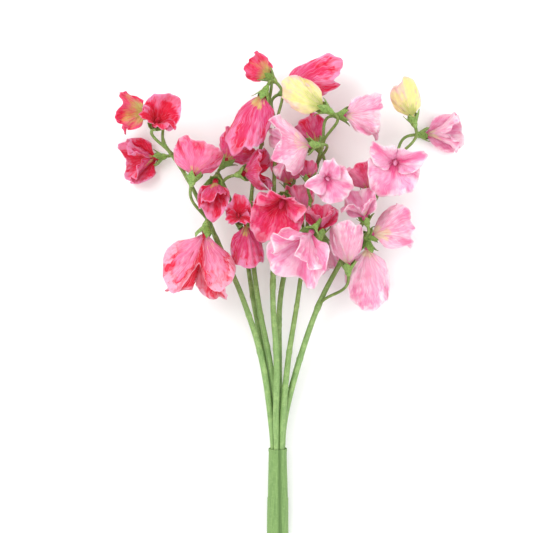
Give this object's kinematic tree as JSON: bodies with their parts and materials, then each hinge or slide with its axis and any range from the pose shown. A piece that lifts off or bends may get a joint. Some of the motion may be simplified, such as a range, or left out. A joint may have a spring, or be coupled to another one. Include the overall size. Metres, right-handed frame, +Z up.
{
  "type": "sweet pea bunch",
  "caption": "Bunch of sweet peas lying down: waved pink and red blooms and pale buds in green cups on branching stems, held at the lower end by a wrapped binding.",
  "frame": {"origin": "on the table under the middle of the lying bunch's bounding box", "axes": "+Y from the cut ends to the blooms, +X across the bunch to its right as seen from above, +Z up from the table"},
  "size_m": [0.2838, 0.3961, 0.1014],
  "materials": {
    "petal_red": "matt petal, crimson-rose",
    "petal_pink": "matt petal, mid pink",
    "petal_pale": "matt petal, pale pink",
    "petal_yellow": "matt petal, pale yellow",
    "stem_green": "matt green stem",
    "binding": "satin green tape"
  },
  "bodies": {
    "root": {"binding_wrap": "binding", "stem_a": "stem_green", "bloom_a1": "petal_red", "bloom_a2": "petal_red", "bloom_a3": "petal_red", "bloom_a4": "petal_pink", "bloom_a5": "petal_red", "stem_b": "stem_green", "bloom_b1": "petal_red", "bloom_b2": "petal_red", "bloom_b3": "petal_red", "stem_c": "stem_green", "bloom_c1": "petal_red", "bloom_c2": "petal_red", "bloom_c3": "petal_red", "stem_d": "stem_green", "bloom_d1": "petal_red", "bloom_d2": "petal_red", "bloom_d3": "petal_pink", "bloom_d4": "petal_pink", "stem_e": "stem_green", "bloom_e1": "petal_yellow", "bloom_e2": "petal_pale", "bloom_e3": "petal_pale", "bloom_e4": "petal_red", "bloom_e5": "petal_pale", "stem_f": "stem_green", "bloom_f1": "petal_pink", "bloom_f2": "petal_pink", "bloom_f3": "petal_pink", "bloom_f4": "petal_pale", "bloom_f5": "petal_pale", "stem_g": "stem_green", "bloom_g1": "petal_yellow", "bloom_g2": "petal_pale", "bloom_g3": "petal_pale", "bloom_g4": "petal_pink", "bloom_g5": "petal_pale", "bloom_g6": "petal_pale", "bloom_g7": "petal_pale", "bloom_g8": "petal_pale"}
  },
  "joints": []
}
